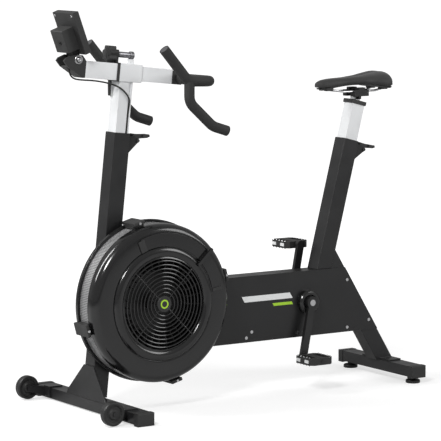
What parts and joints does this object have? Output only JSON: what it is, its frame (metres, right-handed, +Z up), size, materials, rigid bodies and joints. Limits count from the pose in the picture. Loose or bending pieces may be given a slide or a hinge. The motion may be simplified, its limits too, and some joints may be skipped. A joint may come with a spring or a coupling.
{
  "type": "exercise bike",
  "caption": "Stationary bike with an air-fan flywheel, square leaning posts, drop handlebar with horns, tilting monitor, height-adjustable saddle and transport wheels.",
  "frame": {"origin": "on the floor under the middle of the machine's footprint", "axes": "+X forward, the way the rider faces; +Y to the rider's left, the fan's side; +Z up"},
  "size_m": [1.22, 0.61, 1.1901],
  "materials": {
    "frame_paint": "satin",
    "silver_tube": "satin anodised",
    "black_plastic": "matte",
    "cover_plastic": "gloss",
    "screen_mesh": "satin perforated",
    "steel": "bright",
    "pulley_plastic": "matte",
    "rubber": "matte",
    "screen": "gloss",
    "saddle_cover": "matte"
  },
  "bodies": {
    "frame": {"front_bar": "frame_paint", "rear_bar": "frame_paint", "bar_end_caps": "black_plastic", "wheel_brackets": "frame_paint", "front_post": "frame_paint", "post_gusset": "frame_paint", "seat_tube": "frame_paint", "rear_leg": "frame_paint", "body_rails": "frame_paint", "side_panels": "frame_paint", "cover_screws": "steel", "crank_bosses": "cover_plastic", "bearing_plates": "frame_paint", "first_belt": "rubber", "second_belt": "rubber", "rear_cover": "cover_plastic", "screen_band": "screen_mesh", "front_cover": "cover_plastic", "cover_clips": "black_plastic", "lever_brackets": "frame_paint"},
    "wheel_left": {"left_wheel": "rubber"},
    "wheel_right": {"right_wheel": "rubber"},
    "foot_left": {"left_foot": "rubber"},
    "foot_right": {"right_foot": "rubber"},
    "stem": {"handlebar_post": "silver_tube", "stem_collar": "silver_tube", "clamp_plate": "black_plastic", "clamp_rod": "steel", "monitor_sleeve": "silver_tube", "monitor_bracket": "black_plastic", "monitor_cable": "rubber"},
    "knob": {"star_knob": "black_plastic"},
    "handlebar": {"slide_tube": "silver_tube", "stem_block": "black_plastic", "handlebar_tube": "steel", "grips": "rubber"},
    "monitor": {"monitor_case": "black_plastic", "battery_box": "black_plastic", "monitor_screen": "screen"},
    "key_menu": {"menu_key": "black_plastic"},
    "key_units": {"units_key": "black_plastic"},
    "key_display": {"display_key": "black_plastic"},
    "lever_front": {"post_lever": "black_plastic"},
    "lever_rear": {"seat_lever": "black_plastic"},
    "saddle_post": {"seat_post": "silver_tube", "seat_post_cap": "black_plastic"},
    "cradle": {"saddle_cradle": "steel"},
    "saddle": {"saddle_rails": "steel", "saddle_base": "black_plastic", "saddle_cushion": "saddle_cover"},
    "cranks": {"crank_spindle": "steel", "crank_pulley": "pulley_plastic", "crank_arms": "frame_paint"},
    "pedal_left": {"left_pedal": "black_plastic"},
    "pedal_right": {"right_pedal": "black_plastic"},
    "layshaft": {"lay_shaft": "steel", "lay_pulley": "pulley_plastic"},
    "fan": {"fan_shaft": "steel", "fan_wheel": "black_plastic"},
    "damper": {"damper_ring": "black_plastic"}
  },
  "joints": [
    {"name": "left_wheel_spin", "type": "hinge", "parent": "frame", "child": "wheel_left", "pos_m": [0.574, 0.252, 0.038], "axis": [0, 1, 0], "continuous": true},
    {"name": "right_wheel_spin", "type": "hinge", "parent": "frame", "child": "wheel_right", "pos_m": [0.574, -0.252, 0.038], "axis": [0, 1, 0], "continuous": true},
    {"name": "left_foot_thread", "type": "slide", "parent": "frame", "child": "foot_left", "axis": [0, 0, 1], "range_m": [-0.01, 0]},
    {"name": "right_foot_thread", "type": "slide", "parent": "frame", "child": "foot_right", "axis": [0, 0, 1], "range_m": [-0.01, 0]},
    {"name": "handlebar_height", "type": "slide", "parent": "frame", "child": "stem", "axis": [-0.108, 0, 0.9942], "range_m": [-0.045, 0.1]},
    {"name": "knob_turn", "type": "hinge", "parent": "stem", "child": "knob", "pos_m": [0.42207, 0, 1.05988], "axis": [0.9942, 0, 0.108], "range_deg": [0, 360]},
    {"name": "handlebar_reach", "type": "slide", "parent": "stem", "child": "handlebar", "axis": [0.9942, 0, 0.108], "range_m": [-0.03, 0.08]},
    {"name": "monitor_tilt", "type": "hinge", "parent": "stem", "child": "monitor", "pos_m": [0.54716, 0, 1.04732], "axis": [0, 1, 0], "range_deg": [-15, 15]},
    {"name": "menu_key_press", "type": "slide", "parent": "monitor", "child": "key_menu", "axis": [0.9397, 0, -0.342], "range_m": [0, 0.0015], "stiffness_N_per_m": 300},
    {"name": "units_key_press", "type": "slide", "parent": "monitor", "child": "key_units", "axis": [0.9397, 0, -0.342], "range_m": [0, 0.0015], "stiffness_N_per_m": 300},
    {"name": "display_key_press", "type": "slide", "parent": "monitor", "child": "key_display", "axis": [0.9397, 0, -0.342], "range_m": [0, 0.0015], "stiffness_N_per_m": 300},
    {"name": "front_clamp_lever", "type": "hinge", "parent": "frame", "child": "lever_front", "pos_m": [0.33971, 0, 0.79946], "axis": [0, 1, 0], "range_deg": [0, 80]},
    {"name": "rear_clamp_lever", "type": "hinge", "parent": "frame", "child": "lever_rear", "pos_m": [-0.49551, 0, 0.73054], "axis": [0, 1, 0], "range_deg": [0, 80]},
    {"name": "saddle_height", "type": "slide", "parent": "frame", "child": "saddle_post", "axis": [-0.2504, 0, 0.9681], "range_m": [-0.11, 0.06]},
    {"name": "saddle_tilt", "type": "hinge", "parent": "saddle_post", "child": "cradle", "pos_m": [-0.4743, 0, 0.89613], "axis": [0, 1, 0], "range_deg": [-10, 10]},
    {"name": "saddle_reach", "type": "slide", "parent": "cradle", "child": "saddle", "axis": [1, 0, 0], "range_m": [-0.02, 0.02]},
    {"name": "crank_spin", "type": "hinge", "parent": "frame", "child": "cranks", "pos_m": [-0.2685, 0, 0.2666], "axis": [0, 1, 0], "continuous": true},
    {"name": "left_pedal_spin", "type": "hinge", "parent": "cranks", "child": "pedal_left", "pos_m": [-0.22881, 0, 0.1013], "axis": [0, 1, 0], "continuous": true},
    {"name": "right_pedal_spin", "type": "hinge", "parent": "cranks", "child": "pedal_right", "pos_m": [-0.30819, 0, 0.4319], "axis": [0, 1, 0], "continuous": true},
    {"name": "layshaft_spin", "type": "hinge", "parent": "frame", "child": "layshaft", "pos_m": [0.06, 0, 0.262], "axis": [0, 1, 0], "continuous": true},
    {"name": "fan_spin", "type": "hinge", "parent": "frame", "child": "fan", "pos_m": [0.3275, 0, 0.323], "axis": [0, 1, 0], "continuous": true},
    {"name": "damper_turn", "type": "hinge", "parent": "frame", "child": "damper", "pos_m": [0.3275, 0, 0.323], "axis": [0, 1, 0], "range_deg": [-28, 28]}
  ],
  "couplings": [
    {"joint": "layshaft_spin", "follows": "crank_spin", "ratio": 2.9167},
    {"joint": "fan_spin", "follows": "crank_spin", "ratio": 10.694}
  ]
}
